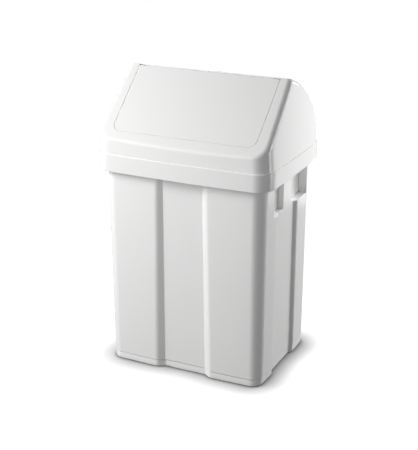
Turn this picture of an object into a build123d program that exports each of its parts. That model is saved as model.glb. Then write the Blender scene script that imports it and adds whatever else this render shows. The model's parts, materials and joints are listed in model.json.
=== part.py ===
from build123d import *
import os
from math import atan2, cos, degrees, radians, sin, tan

# Swing-lid kitchen bin: a tapered body, a lift-off hood and a flap that swings in the hood's slope.
# +X is to the right of the bin, the flap faces -Y, +Z is up, and the bin stands on Z = 0.

# Walls and fits
wall = 2.5
hood_clearance = 0.6
running_clearance = 0.05
seat_clearance = 0.3

# Body
body_top_width = 376.4
body_top_depth = 286.4
body_height = 488.5
side_taper = 4.0
front_taper = 3.6
body_top_corner = 28.0
body_foot_corner = 25.0
front_bow = 3.8
side_bow = 2.3
foot_height = 18.0
foot_inset = 1.2
base_recess = 3.0
foot_ring = 9.0
base_thickness = 3.0

# Sunk panels: flat width and depth at the rim, then how much deeper and wider each gets by the foot
front_panel_width = 92.0
front_panel_sink = 8.0
front_panel_lean = 6.2
front_panel_spread = 6.0
front_panel_ramp_angle = 32.0
front_panel_round = 18.0
side_panel_width = 93.0
side_panel_sink = 7.0
side_panel_lean = 4.5
side_panel_spread = 12.0
side_panel_ramp_angle = 38.0
side_panel_round = 11.0

# Grip pockets high on each side, under the hood's skirt
pocket_drop = 114.5
pocket_height = 96.0
pocket_depth = 20.0
front_pocket_start = -78.0
front_pocket_width = 67.0
rear_pocket_start = 35.0
rear_pocket_width = 77.0

# Rim flange of the body
flange_thickness = 2.5
flange_lip = 12.0

# Hood
rim_overhang = 16.8
band_corner = 38.0
band_front_bow = 5.0
band_side_bow = 2.3
band_height = 38.0
band_step = 2.0
band_edge_round = 1.5
side_lean_angle = 4.4
ridge_forward = 5.0
ridge_rise = 169.5
slope_angle = 41.4
dome_tilt_angle = 13.0
dome_foot_inset = 0.6
band_foot_round = 0.8
edge_round = 12.0

# Flap and its opening, measured down the slope from the ridge
flap_side_margin = 40.0
flap_foot_margin = 27.0
flap_top_gap = 4.0
flap_gap = 1.2
flap_corner = 20.0
flap_edge_round = 0.8
flap_rib_start = 16.0
flap_rib_depth = 7.0
opening_lip_depth = 6.0
stop_lip_width = 300.0
stop_lip_reach = 12.0
stop_lip_root = 6.0
stop_lip_thickness = 2.5

# Pivot and counterweight
pivot_down = 62.0
pivot_inward = 16.0
pin_radius = 4.0
pin_head_radius = 7.0
pin_head_thickness = 2.5
pin_barb = 0.7
pin_barb_length = 4.0
pin_tip_radius = 3.2
pin_slit = 1.4
ear_radius = 10.0
ear_thickness = 3.0
ear_gap = 3.0
boss_radius = 7.5
boss_length = 6.0
boss_proud = 1.5
cheek_inset = 4.5
cheek_top = 30.0
cheek_bottom = 100.0
weight_radius = 5.0
weight_back = 40.0
weight_drop = 62.0
weight_chamfer = 0.6
weight_clearance = 0.1
socket_wall = 3.0
socket_length = 12.0
socket_slot = 8.4

# Sizes that follow from the ones above
body_foot_width = body_top_width - 2 * side_taper
body_foot_depth = body_top_depth - 2 * front_taper
pocket_floor = body_height - pocket_drop
band_width = body_top_width + 2 * rim_overhang
band_depth = body_top_depth + 2 * rim_overhang
ledge_z = body_height
band_top = ledge_z + wall
skirt_bottom = band_top - band_height
ridge_y = -ridge_forward
ridge_z = body_height + ridge_rise
slope_length = (band_depth / 2 - band_step - ridge_forward) / cos(radians(slope_angle))
flap_end = slope_length - flap_foot_margin
flap_width = band_width - 2 * flap_side_margin

# Plane of the slope and places on it
slope_run = Vector(0, -cos(radians(slope_angle)), -sin(radians(slope_angle)))
slope_normal = Vector(0, -sin(radians(slope_angle)), cos(radians(slope_angle)))
ridge = Vector(0, ridge_y, ridge_z)
pivot = ridge + slope_run * pivot_down - slope_normal * pivot_inward
weight_at = pivot + Vector(0, weight_back, -weight_drop)

# The dome's arc starts at the ridge with its tilt and ends at the back of the band
dome_inward = Vector(0, -sin(radians(dome_tilt_angle)), -cos(radians(dome_tilt_angle)))
dome_chord = Vector(0, band_depth / 2 - band_step - dome_foot_inset, band_top) - ridge
dome_radius = dome_chord.length**2 / (2 * dome_chord.dot(dome_inward))
dome_centre = ridge + dome_inward * dome_radius
cheek_x = flap_width / 2 - cheek_inset
ear_x = flap_width / 2 + ear_gap


def slope_plane(inward):
    # Plane parallel to the slope: its x is the bin's X and its y runs down the slope
    return Plane(origin=ridge - slope_normal * inward, x_dir=(-1, 0, 0), z_dir=slope_normal)


def panel_cut(reach, flat_width, plane_at, ramp, inset):
    # Plan of a sunk panel that faces -Y, grown by inset for the inside of the wall
    half = flat_width / 2 + inset * tan(radians(ramp / 2))
    far = half + reach
    face_y = -(plane_at - inset)
    outer_y = face_y - reach * tan(radians(ramp))
    with BuildSketch() as cut:
        Polygon((-half, face_y), (half, face_y), (far, outer_y), (-far, outer_y), align=None)
    return cut.sketch


def bowed_outline(width, depth, bow_y, bow_x, corner):
    # Rounded rectangle whose four sides bow outwards to the full width and depth
    x = width / 2 - bow_x
    y = depth / 2 - bow_y
    with BuildSketch() as outline:
        with BuildLine():
            ThreePointArc((-x, -y), (0, -depth / 2), (x, -y))
            ThreePointArc((x, -y), (width / 2, 0), (x, y))
            ThreePointArc((x, y), (0, depth / 2), (-x, y))
            ThreePointArc((-x, y), (-width / 2, 0), (-x, -y))
        make_face()
        fillet(outline.vertices(), corner)
    return outline.sketch


def body_outline(height, inset):
    # Plan of the body's wall at one height; below foot_height the wall turns in
    share = max(height - foot_height, 0) / (body_height - foot_height)
    turn = foot_inset * max(foot_height - height, 0) / foot_height
    shrink = inset + turn
    width = body_foot_width + (body_top_width - body_foot_width) * share - 2 * shrink
    depth = body_foot_depth + (body_top_depth - body_foot_depth) * share - 2 * shrink
    corner = body_foot_corner + (body_top_corner - body_foot_corner) * share - shrink
    plain = bowed_outline(width, depth, front_bow, side_bow, corner)
    front_at = body_top_depth / 2 - front_panel_sink - front_panel_lean * (1 - share)
    side_at = body_top_width / 2 - side_panel_sink - side_panel_lean * (1 - share)
    front_width = front_panel_width + front_panel_spread * (1 - share)
    side_width = side_panel_width + side_panel_spread * (1 - share)
    front_cut = panel_cut(corner * 2, front_width, front_at, front_panel_ramp_angle, shrink)
    side_cut = panel_cut(corner * 2, side_width, side_at, side_panel_ramp_angle, shrink)
    with BuildSketch() as outline:
        add(plain)
        add(front_cut, mode=Mode.SUBTRACT)
        add(front_cut, rotation=180, mode=Mode.SUBTRACT)
        add(side_cut, rotation=90, mode=Mode.SUBTRACT)
        add(side_cut, rotation=-90, mode=Mode.SUBTRACT)
        near_front = front_width / 2 + shrink + body_foot_corner
        near_side = side_width / 2 + shrink + body_foot_corner
        past_front = front_at - shrink + wall / 2
        past_side = side_at - shrink + wall / 2
        front_rims = [v for v in outline.vertices() if abs(v.X) < near_front and abs(v.Y) > past_front]
        fillet(front_rims, front_panel_round - inset)
        side_rims = [v for v in outline.vertices() if abs(v.Y) < near_side and abs(v.X) > past_side]
        fillet(side_rims, side_panel_round - inset)
    return outline.sketch


def body_form(inset, bottom):
    outlines = [(height, body_outline(height, inset)) for height in (bottom, foot_height, body_height)]
    with BuildPart() as form:
        for height, outline in outlines:
            with BuildSketch(Plane.XY.offset(height)):
                add(outline)
        loft(ruled=True)
    return form.part


def upper_outline(height, inset):
    # Plan of the hood above the band; its sides lean inwards with height
    lean = (height - band_top) * tan(radians(side_lean_angle))
    width = band_width - 2 * (band_step + lean + inset)
    depth = band_depth - 2 * (band_step + inset)
    return bowed_outline(width, depth, band_front_bow, band_side_bow, band_corner - band_step - inset)


def upper_form(inset):
    # Upright block of the hood, cut by the slope and the dome, with their rims rounded
    bottom = band_top - 2 * wall
    outlines = [(height, upper_outline(height, inset)) for height in (bottom, ridge_z)]
    front = -band_depth
    drop = inset / cos(radians(slope_angle))
    front_z = ridge_z + (front - ridge_y) * tan(radians(slope_angle)) - drop
    back_z = ridge_z + (-front - ridge_y) * tan(radians(slope_angle)) - drop
    with BuildPart() as form:
        for height, outline in outlines:
            with BuildSketch(Plane.XY.offset(height)):
                add(outline)
        loft(ruled=True)
        with BuildSketch(Plane.YZ):
            Polygon((front, bottom), (front, front_z), (-front, back_z), (-front, bottom), align=None)
        extrude(amount=band_width, both=True, mode=Mode.INTERSECT)
        with BuildSketch(Plane.YZ):
            with Locations((dome_centre.Y, dome_centre.Z)):
                Circle(dome_radius - inset)
                Rectangle(2 * dome_radius - 2 * inset, dome_radius, align=(Align.CENTER, Align.MAX))
        extrude(amount=band_width, both=True, mode=Mode.INTERSECT)
        slope = form.faces().filter_by(GeomType.PLANE).sort_by(Axis(ridge, slope_normal))[-1]
        dome = form.faces().filter_by(GeomType.CYLINDER).sort_by(SortBy.AREA)[-1]
        shared = slope.edges().sort_by(Axis.Z)[-1]
        edges = slope.edges() + dome.edges()
        rims = [e for e in edges if (e.center() - shared.center()).length > edge_round]
        fillet(rims, edge_round - inset)
    return form.part


def band_form(inset, bottom, top):
    outline = bowed_outline(
        band_width - 2 * inset, band_depth - 2 * inset, band_front_bow, band_side_bow, band_corner - inset
    )
    with BuildPart() as form:
        with BuildSketch(Plane.XY.offset(bottom)):
            add(outline)
        extrude(amount=top - bottom)
    return form.part


def opening_outline(grow, top):
    # Outline on the slope from top down to the flap's end, with the lower corners rounded
    half = flap_width / 2 + grow
    end = flap_end + grow
    with BuildSketch() as outline:
        Polygon((-half, top), (half, top), (half, end), (-half, end), align=None)
        fillet(outline.vertices().group_by(Axis.Y)[-1], flap_corner + grow)
    return outline.sketch


def flange_outline(inset):
    # Plan of the body's rim, which fits inside the hood's band
    shrink = wall + hood_clearance + inset
    return bowed_outline(
        band_width - 2 * shrink, band_depth - 2 * shrink, band_front_bow, band_side_bow, band_corner - shrink
    )


def round_hull(rounds):
    # Convex outline around circles given as (point, radius), drawn in the bin's YZ plane
    with BuildSketch() as outline:
        for point, radius in rounds:
            with Locations((point.Y, point.Z)):
                Circle(radius)
        make_hull()
    return outline.sketch


def on_slope(down, inward):
    return ridge + slope_run * down - slope_normal * inward


# Body: walls, floor, rim flange and grip pockets
outer_wall = body_form(0, 0)
body_cavity = body_form(wall, base_recess + base_thickness)
foot_hollow = bowed_outline(
    body_foot_width - 2 * (side_panel_sink + foot_ring),
    body_foot_depth - 2 * (front_panel_sink + foot_ring),
    front_bow,
    side_bow,
    body_foot_corner,
)
rim_outer = flange_outline(0)
rim_inner = flange_outline(wall)
pocket_back = body_top_width / 2 - pocket_depth
pockets = [(front_pocket_start, front_pocket_width), (rear_pocket_start, rear_pocket_width)]

with BuildPart() as pocket_linings:
    for start, width in pockets:
        with Locations((pocket_back - wall, start - wall, pocket_floor - wall)):
            Box(pocket_depth + wall, width + 2 * wall, pocket_height + 2 * wall, align=Align.MIN)
    mirror(about=Plane.YZ)
    add(outer_wall, mode=Mode.INTERSECT)

with BuildPart() as pocket_spaces:
    for start, width in pockets:
        with Locations((pocket_back, start, pocket_floor)):
            Box(pocket_depth + wall, width, pocket_height, align=Align.MIN)
    mirror(about=Plane.YZ)

with BuildPart() as bin_body:
    add(outer_wall)
    with BuildSketch(Plane.XY.offset(body_height - flange_thickness)):
        add(rim_outer)
    extrude(amount=flange_thickness)
    with BuildSketch(Plane.XY.offset(body_height - flange_lip)):
        add(rim_outer)
        add(rim_inner, mode=Mode.SUBTRACT)
    extrude(amount=flange_lip)
    add(body_cavity, mode=Mode.SUBTRACT)
    add(pocket_linings.part)
    add(pocket_spaces.part, mode=Mode.SUBTRACT)
    with BuildSketch(Plane.XY):
        add(foot_hollow)
    extrude(amount=base_recess, mode=Mode.SUBTRACT)

# Hood: proud band, shell with slope and dome, opening, stop lip and pivot ears
shell_outer = upper_form(0)
shell_inner = upper_form(wall)
shell_middle = upper_form(wall / 2)
lip_inward = wall + opening_lip_depth
lip_outline = opening_outline(flap_gap + wall, -wall)
cut_outline = opening_outline(flap_gap, 0)
stop_inward = wall + seat_clearance + stop_lip_thickness

with BuildPart() as band:
    add(band_form(0, skirt_bottom, band_top))
    fillet(band.edges().group_by(Axis.Z)[-1], band_edge_round)
    fillet(band.edges().group_by(Axis.Z)[0], band_foot_round)

with BuildPart() as stop_lip:
    with BuildSketch(slope_plane(stop_inward)):
        with Locations((0, (stop_lip_reach - stop_lip_root) / 2)):
            Rectangle(stop_lip_width, stop_lip_reach + stop_lip_root)
    extrude(amount=stop_lip_thickness)
    add(shell_middle, mode=Mode.INTERSECT)

with BuildPart() as opening_lip:
    with BuildSketch(slope_plane(lip_inward)):
        add(lip_outline)
    extrude(amount=lip_inward)
    add(shell_middle, mode=Mode.INTERSECT)

with BuildPart() as ears:
    with BuildSketch(Plane.YZ.offset(ear_x)):
        add(round_hull([(pivot, ear_radius), (on_slope(pivot_down, ear_radius), ear_radius)]))
    extrude(amount=ear_thickness)
    with BuildSketch(slope_plane(pivot_inward)):
        gusset_down = pivot_down + ear_radius - wall / 2
        with Locations(((-ear_x - band_width / 2) / 2, gusset_down)):
            Rectangle(band_width / 2 - ear_x, wall)
    extrude(amount=pivot_inward)
    mirror(about=Plane.YZ)
    add(shell_middle, mode=Mode.INTERSECT)

with BuildPart() as pin_bores:
    with BuildSketch(Plane.YZ.offset(ear_x - ear_gap)):
        with Locations((pivot.Y, pivot.Z)):
            Circle(pin_radius + running_clearance)
    extrude(amount=ear_thickness + 2 * ear_gap)
    mirror(about=Plane.YZ)

with BuildPart() as hood:
    add(band.part)
    add(shell_outer)
    add(band_form(wall, skirt_bottom, ledge_z), mode=Mode.SUBTRACT)
    add(shell_inner, mode=Mode.SUBTRACT)
    add(opening_lip.part)
    with BuildSketch(slope_plane(lip_inward)):
        add(cut_outline)
    extrude(amount=lip_inward + wall, mode=Mode.SUBTRACT)
    add(stop_lip.part)
    add(ears.part)
    add(pin_bores.part, mode=Mode.SUBTRACT)

# Flap: plate, stiffening rib, cheeks with the pivot bosses and the sockets for the weight
plate_outline = opening_outline(0, flap_top_gap)
rib_outline = opening_outline(-cheek_inset, flap_rib_start)
rib_hollow = opening_outline(-cheek_inset - wall, flap_rib_start + wall)
plate_middle = wall / 2
cheek_rounds = [
    (on_slope(cheek_top, plate_middle), plate_middle),
    (on_slope(cheek_bottom, plate_middle), plate_middle),
    (pivot, boss_radius),
]
socket_radius = weight_radius + weight_clearance + socket_wall
arm_rounds = [(pivot, boss_radius), (weight_at, socket_radius)]
arm_angle = -degrees(atan2(weight_drop, weight_back))

with BuildPart() as plate:
    with BuildSketch(slope_plane(wall)):
        add(plate_outline)
    extrude(amount=wall)
    fillet(plate.edges().group_by(Axis(ridge, slope_normal))[-1], flap_edge_round)

with BuildPart() as cheeks:
    with BuildSketch(Plane.YZ.offset(cheek_x - wall)):
        add(round_hull(cheek_rounds))
        add(round_hull(arm_rounds))
    extrude(amount=wall)
    with BuildSketch(Plane.YZ.offset(cheek_x + boss_proud - boss_length)):
        with Locations((pivot.Y, pivot.Z)):
            Circle(boss_radius)
    extrude(amount=boss_length)
    with BuildSketch(Plane.YZ.offset(cheek_x - wall - socket_length)):
        with Locations((weight_at.Y, weight_at.Z)):
            Circle(socket_radius)
            Circle(weight_radius + weight_clearance, mode=Mode.SUBTRACT)
        with Locations(Location((weight_at.Y, weight_at.Z), arm_angle)):
            Rectangle(socket_radius * 2, socket_slot, align=(Align.MIN, Align.CENTER), mode=Mode.SUBTRACT)
    extrude(amount=socket_length)
    with BuildSketch(Plane.YZ.offset(cheek_x + boss_proud)):
        with Locations((pivot.Y, pivot.Z)):
            Circle(pin_radius + running_clearance)
    extrude(amount=-boss_length, mode=Mode.SUBTRACT)
    mirror(about=Plane.YZ)

with BuildPart() as swing_flap:
    add(plate.part)
    with BuildSketch(slope_plane(wall + flap_rib_depth)):
        add(rib_outline)
        add(rib_hollow, mode=Mode.SUBTRACT)
    extrude(amount=flap_rib_depth + plate_middle)
    add(cheeks.part)

# Pivot pins: headed, with a split barbed tip that snaps past the flap's boss
boss_end = cheek_x + boss_proud - boss_length - seat_clearance
tip_end = boss_end - pin_barb_length
head_seat = ear_x + ear_thickness
pin_axis = Plane(origin=(0, pivot.Y, pivot.Z), x_dir=(1, 0, 0), z_dir=(0, -1, 0))

with BuildPart() as pivot_pin_right:
    with BuildSketch(pin_axis):
        Polygon(
            (tip_end, 0),
            (tip_end, pin_tip_radius),
            (boss_end, pin_radius + pin_barb),
            (boss_end, pin_radius),
            (head_seat, pin_radius),
            (head_seat, pin_head_radius),
            (head_seat + pin_head_thickness, pin_head_radius),
            (head_seat + pin_head_thickness, 0),
            align=None,
        )
    revolve(axis=Axis((0, pivot.Y, pivot.Z), (1, 0, 0)))
    with Locations((tip_end, pivot.Y, pivot.Z)):
        Box(
            pin_barb_length + boss_length, pin_slit, 2 * pin_head_radius,
            align=(Align.MIN, Align.CENTER, Align.CENTER), mode=Mode.SUBTRACT,
        )

with BuildPart() as pivot_pin_left:
    add(mirror(pivot_pin_right.part, about=Plane.YZ, mode=Mode.PRIVATE))

# Weight rod across the flap's cheeks, behind and below the pivot
with BuildPart() as weight_rod:
    with Locations(Plane(origin=weight_at, z_dir=(1, 0, 0))):
        Cylinder(weight_radius, 2 * (cheek_x - wall - seat_clearance))
    chamfer(weight_rod.edges().filter_by(GeomType.CIRCLE), weight_chamfer)

pieces = {
    "bin_body": bin_body,
    "hood": hood,
    "swing_flap": swing_flap,
    "pivot_pin_left": pivot_pin_left,
    "pivot_pin_right": pivot_pin_right,
    "weight_rod": weight_rod,
}
os.makedirs("parts", exist_ok=True)
for name, piece in pieces.items():
    piece.part.label = name
    export_step(piece.part, f"parts/{name}.step")
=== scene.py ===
import bpy
import bmesh
import json
from math import atan, atan2, cos, pi, radians, sin, sqrt, tan
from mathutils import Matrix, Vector


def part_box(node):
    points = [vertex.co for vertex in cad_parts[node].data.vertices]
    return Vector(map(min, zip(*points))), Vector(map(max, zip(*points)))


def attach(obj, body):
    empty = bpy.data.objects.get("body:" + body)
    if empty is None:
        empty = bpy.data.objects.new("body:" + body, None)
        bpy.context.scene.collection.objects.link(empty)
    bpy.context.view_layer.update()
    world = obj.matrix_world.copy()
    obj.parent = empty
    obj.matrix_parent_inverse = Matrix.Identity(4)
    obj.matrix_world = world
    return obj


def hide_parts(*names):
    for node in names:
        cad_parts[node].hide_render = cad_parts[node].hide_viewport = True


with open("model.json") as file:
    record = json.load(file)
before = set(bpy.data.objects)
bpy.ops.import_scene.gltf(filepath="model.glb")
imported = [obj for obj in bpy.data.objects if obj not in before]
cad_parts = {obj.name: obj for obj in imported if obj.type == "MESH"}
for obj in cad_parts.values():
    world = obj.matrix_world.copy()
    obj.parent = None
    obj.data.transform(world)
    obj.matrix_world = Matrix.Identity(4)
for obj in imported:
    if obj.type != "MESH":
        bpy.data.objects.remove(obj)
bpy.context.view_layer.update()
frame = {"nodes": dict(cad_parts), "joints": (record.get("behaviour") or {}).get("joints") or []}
print("frame loaded")

mm = 0.001  # the piece sizes below are millimetres, Blender's are metres

# What the frame says about the bin, in millimetres
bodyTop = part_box("bin_body")[1] / mm
hoodLow, hoodHigh = [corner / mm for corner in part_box("hood")]
flapJoint = [joint for joint in frame["joints"] if joint["name"] == "flap_swing"][0]
pivot = Vector(flapJoint["pos_m"]) / mm

shellSpec = {
    "wall": 2.5,
    "cornerSteps": 10,  # segments round a corner of the plan
    "edgeSteps": 4,  # segments round a small edge
    "sharpAngle": 30.5,  # edges steeper than this stay crisp
    "steepAngle": 50.0,  # edges steeper than this can be rounded
    "slack": 0.01,  # places nearer than this count as level
    "samePlace": 0.001,  # corners of a face nearer than this are one
    "weld": 0.004,  # vertices nearer than this are joined
    "fineWeld": 0.001,
}


# Plans: rounded rectangles whose four sides bow outwards, given by their half sizes
def frontAt(plan, x):
    return plan["y"] - plan["bowY"] * (x / (plan["x"] - plan["bowX"])) ** 2


def flankAt(plan, y):
    return plan["x"] - plan["bowX"] * (y / (plan["y"] - plan["bowY"])) ** 2


def cornerRound(plan):
    # Centre of the corner's arc and the angles where it leaves the front and meets the flank
    r = plan["r"]
    endX = plan["x"] - plan["bowX"]
    endY = plan["y"] - plan["bowY"]
    x, y = endX - r, endY - r
    for turn in range(4):  # it settles in four rounds
        front = Vector((2 * plan["bowY"] * x / endX**2, 1)).normalized()
        flank = Vector((1, 2 * plan["bowX"] * y / endY**2)).normalized()
        offFront = front.dot(Vector((x, frontAt(plan, x)))) - r
        offFlank = flank.dot(Vector((flankAt(plan, y), y))) - r
        det = front.x * flank.y - front.y * flank.x
        centre = Vector((
            (offFront * flank.y - offFlank * front.y) / det,
            (front.x * offFlank - flank.x * offFront) / det,
        ))
        x = centre.x + r * front.x
        y = centre.y + r * flank.y
    return centre, atan2(front.y, front.x), atan2(flank.y, flank.x)


def cornerPlaces(plan, steps):
    centre, start, end = cornerRound(plan)
    places = []
    for step in range(steps + 1):
        angle = start + (end - start) * step / steps
        out = Vector((cos(angle), sin(angle)))
        places.append((centre + out * plan["r"], out))
    return places


def plainQuarter(plan, frontShares, flankShares):
    # (place, outward direction) from the middle of the front round to the middle of the flank
    corner = cornerPlaces(plan, shellSpec["cornerSteps"])
    endX, endY = corner[0][0].x, corner[-1][0].y
    slopeX = 2 * plan["bowY"] / (plan["x"] - plan["bowX"]) ** 2
    slopeY = 2 * plan["bowX"] / (plan["y"] - plan["bowY"]) ** 2
    front = []
    for share in frontShares:
        x = share * endX
        front.append((Vector((x, frontAt(plan, x))), Vector((slopeX * x, 1)).normalized()))
    flank = []
    for share in flankShares:
        y = share * endY
        flank.append((Vector((flankAt(plan, y), y)), Vector((1, slopeY * y)).normalized()))
    return front + corner + flank


def wholeLoop(quarter):
    # The four mirrored quarters, counter-clockwise from the middle of the front
    loop = [(x, -y) for x, y in quarter]
    loop += [(x, y) for x, y in reversed(quarter[:-1])]
    loop += [(-x, y) for x, y in quarter[1:]]
    loop += [(-x, -y) for x, y in reversed(quarter[1:-1])]
    return loop


def placesOf(quarter):
    return [tuple(place) for place, out in quarter]


def ringAt(places, z):
    return [Vector((x, y, z)) for x, y in wholeLoop(places)]


def quarterTurn(steps):
    return [radians(90) * step / steps for step in range(steps + 1)]


# Mesh helpers
def addRing(bm, ring):
    return [bm.verts.new(place * mm) for place in ring]


def addFace(bm, corners):
    distinct = []
    for vert in corners:
        if not any((vert.co - other.co).length < shellSpec["samePlace"] * mm for other in distinct):
            distinct.append(vert)
    if len(distinct) > 2:
        bm.faces.new(distinct)


def joinRings(bm, lower, upper, closed=True, skip=()):
    count = len(lower)
    for i in range(count if closed else count - 1):
        if i not in skip:
            j = (i + 1) % count
            addFace(bm, (lower[i], lower[j], upper[j], upper[i]))


def turnOutward(bm):
    # Same side out everywhere; the face nearest the viewer has to look at the viewer
    bmesh.ops.recalc_face_normals(bm, faces=bm.faces)
    nearest = min(bm.faces, key=lambda face: face.calc_center_median().y)
    if nearest.normal.y > 0:
        bmesh.ops.reverse_faces(bm, faces=bm.faces)


def tidyMesh(bm, closeness=shellSpec["weld"]):
    bmesh.ops.remove_doubles(bm, verts=bm.verts, dist=closeness * mm)
    loose = [vert for vert in bm.verts if not vert.link_faces]
    bmesh.ops.delete(bm, geom=loose, context="VERTS")


def thicken(bm, name):
    # The moulding's outside grows inwards by one wall
    mesh = bpy.data.meshes.new(name)
    bm.to_mesh(mesh)
    bm.free()
    shell = bpy.data.objects.new(name, mesh)
    bpy.context.scene.collection.objects.link(shell)
    grow = shell.modifiers.new("wall", "SOLIDIFY")
    grow.thickness = shellSpec["wall"] * mm
    grow.offset = -1
    grow.use_even_offset = True
    grow.use_quality_normals = True
    bpy.context.view_layer.update()
    grown = bpy.data.meshes.new_from_object(shell.evaluated_get(bpy.context.evaluated_depsgraph_get()))
    bpy.data.objects.remove(shell)
    result = bmesh.new()
    result.from_mesh(grown)
    bpy.data.meshes.remove(grown)
    return result


def roundEdges(bm, width, wanted):
    # Rounds the steep edges for which wanted(edge) holds
    bm.normal_update()
    steep = radians(shellSpec["steepAngle"])
    chosen = [e for e in bm.edges if e.is_manifold and e.calc_face_angle(0) > steep and wanted(e)]
    bmesh.ops.bevel(
        bm, geom=chosen, offset=width * mm, segments=shellSpec["edgeSteps"], profile=0.5,
        affect="EDGES", clamp_overlap=True,
    )


def finishPiece(bm, name, body, material, nodes):
    mesh = bpy.data.meshes.new(name)
    bm.to_mesh(mesh)
    bm.free()
    mesh.shade_smooth()
    mesh.set_sharp_from_angle(angle=radians(shellSpec["sharpAngle"]))
    mesh.materials.append(material)
    piece = bpy.data.objects.new(name, mesh)
    bpy.context.scene.collection.objects.link(piece)
    shade = piece.modifiers.new("evenShading", "WEIGHTED_NORMAL")
    shade.keep_sharp = True
    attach(piece, body)
    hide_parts(*nodes)


# Body
bodySpec = {
    "width": 376.4,  # at the rim, where the walls are widest
    "depth": 286.4,
    "sideTaper": 4.0,
    "frontTaper": 3.6,
    "topCorner": 28.0,
    "footCorner": 25.0,
    "frontBow": 3.8,
    "sideBow": 2.3,
    "footHeight": 18.0,
    "footInset": 0.1,  # how much narrower the foot gets down to the base
    "footRound": 3.0,
    "footCrease": 1.5,  # depth of the step round the foot
    "creaseHigh": 2.2,  # how far below the foot's top the step is deepest
    "footFlare": 0.9,  # inset of the foot below the step
    "baseRecess": 3.0,
    "footRing": 9.0,
    "baseShares": (0.3, 0.65, 1),  # rings across the recessed base
    "wallRows": tuple(range(55, 326, 45)),  # heights of the mesh's rows below the pockets
    "frontPanel": {"half": 46.0, "sink": 8.0, "lean": 6.2, "spread": 3.0, "ramp": 32.0, "round": 18.0},
    "sidePanel": {"half": 46.5, "sink": 7.0, "lean": 4.5, "spread": 6.0, "ramp": 38.0, "round": 11.0},
    "panelSteps": 6,
    "panelMargin": 3.0,  # beside the pockets the panels lean in by less than this
    "frontColumns": (0, 16, 32),  # columns of the mesh on the front panel
    "wallStart": 30.0,  # from the front panel's half width out to the plain wall's first column
    "wallShares": (0, 0.25, 0.5, 0.75),
    "sideColumns": (23, 71, 95),  # columns on the flank between the pockets' ends
    "cornerGap": 0.3,  # the last of them keeps this clear of the corner
    "flankFrom": 150.0,  # places further out than this lie on a flank
    "pocketFloor": 374.0,
    "pocketTop": 470.0,
    "pocketDepth": 20.0,
    "pocketRound": 1.7,
    "pocketSteps": 4,
    "pocketSpans": ((-78.0, -11.0), (35.0, 112.0)),
    "rimShrink": 5.6,  # the rim's lip hangs this far inside the hood's band
    "rimLip": 12.0,
    "rimRound": 0.4,
    "rimMiddle": 0.3,  # share of the rounding at which its middle ring stands
}
bandSpec = {
    "frontBow": 5.0,
    "sideBow": 2.3,
    "corner": 38.0,
    "height": 38.0,
    "rows": (0, 0.35, 0.7),  # shares of its height
    "middleShare": 0.02,  # the column beside the flank's middle
    "topRound": 1.1,
    "footRound": 0.7,
    "step": 2.0,
}


def bandPlan(inset):
    return {
        "x": hoodHigh.x - inset, "y": hoodHigh.y - inset, "r": bandSpec["corner"] - inset,
        "bowX": bandSpec["sideBow"], "bowY": bandSpec["frontBow"],
    }


def bandRing(inset, z, frontShares, flankShares):
    return ringAt(placesOf(plainQuarter(bandPlan(inset), frontShares, flankShares)), z)


def bodyPlan(z, inset):
    spec = bodySpec
    share = max(z - spec["footHeight"], 0) / (bodyTop.z - spec["footHeight"])
    shrink = inset + spec["footInset"] * max(spec["footHeight"] - z, 0) / spec["footHeight"]
    return {
        "x": spec["width"] / 2 - spec["sideTaper"] * (1 - share) - shrink,
        "y": spec["depth"] / 2 - spec["frontTaper"] * (1 - share) - shrink,
        "r": spec["footCorner"] + (spec["topCorner"] - spec["footCorner"]) * share - shrink,
        "bowX": spec["sideBow"], "bowY": spec["frontBow"], "shrink": shrink, "fall": 1 - share,
    }


def panelRun(sideAt, panel, rim, plan, inner, outer):
    # One side from its middle outwards: flat panel, crease, ramp, rounded rim, then the wall
    ramp = radians(panel["ramp"])
    plane = rim - panel["sink"] - panel["lean"] * plan["fall"] - plan["shrink"]
    half = panel["half"] + panel["spread"] * plan["fall"] + plan["shrink"] * tan(ramp / 2)
    edge = half
    for turn in range(6):  # it settles in six rounds
        edge = half + (sideAt(edge) - plane) / tan(ramp)
    lean = atan((sideAt(edge + 1) - sideAt(edge - 1)) / 2)
    reach = panel["round"] * tan((ramp - lean) / 2)
    start = Vector((edge, sideAt(edge))) - Vector((cos(ramp), sin(ramp))) * reach
    centre = start - Vector((-sin(ramp), cos(ramp))) * panel["round"]
    run = [(along, plane) for along in inner] + [(half, plane)]
    for step in range(bodySpec["panelSteps"] + 1):
        angle = pi / 2 + ramp + (lean - ramp) * step / bodySpec["panelSteps"]
        run.append((centre.x + panel["round"] * cos(angle), centre.y + panel["round"] * sin(angle)))
    return run + [(along, sideAt(along)) for along in outer]


def bodyQuarter(z, inset):
    spec = bodySpec
    plan = bodyPlan(z, inset)
    corner = cornerPlaces(plan, shellSpec["cornerSteps"])
    endX, endY = corner[0][0].x, corner[-1][0].y
    front, side = spec["frontPanel"], spec["sidePanel"]
    wide = front["half"] + spec["wallStart"]
    frontOuter = [wide + (endX - wide) * share for share in spec["wallShares"]]
    # The flank's columns stand at the ends of the pockets and between them
    (nearStart, nearEnd), (farStart, farEnd) = spec["pocketSpans"]
    onPanel, offPanel, nearCorner = spec["sideColumns"]
    sideInner = (0, -nearEnd, onPanel, farStart)
    sideOuter = (offPanel, -nearStart, nearCorner, min(farEnd, endY - spec["cornerGap"]))
    frontRun = panelRun(
        lambda x: frontAt(plan, x), front, spec["depth"] / 2, plan, spec["frontColumns"], frontOuter
    )
    sideRun = panelRun(
        lambda y: flankAt(plan, y), side, spec["width"] / 2, plan, sideInner, sideOuter
    )
    return frontRun + [tuple(place) for place, out in corner] + [(x, y) for y, x in reversed(sideRun)]


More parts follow.
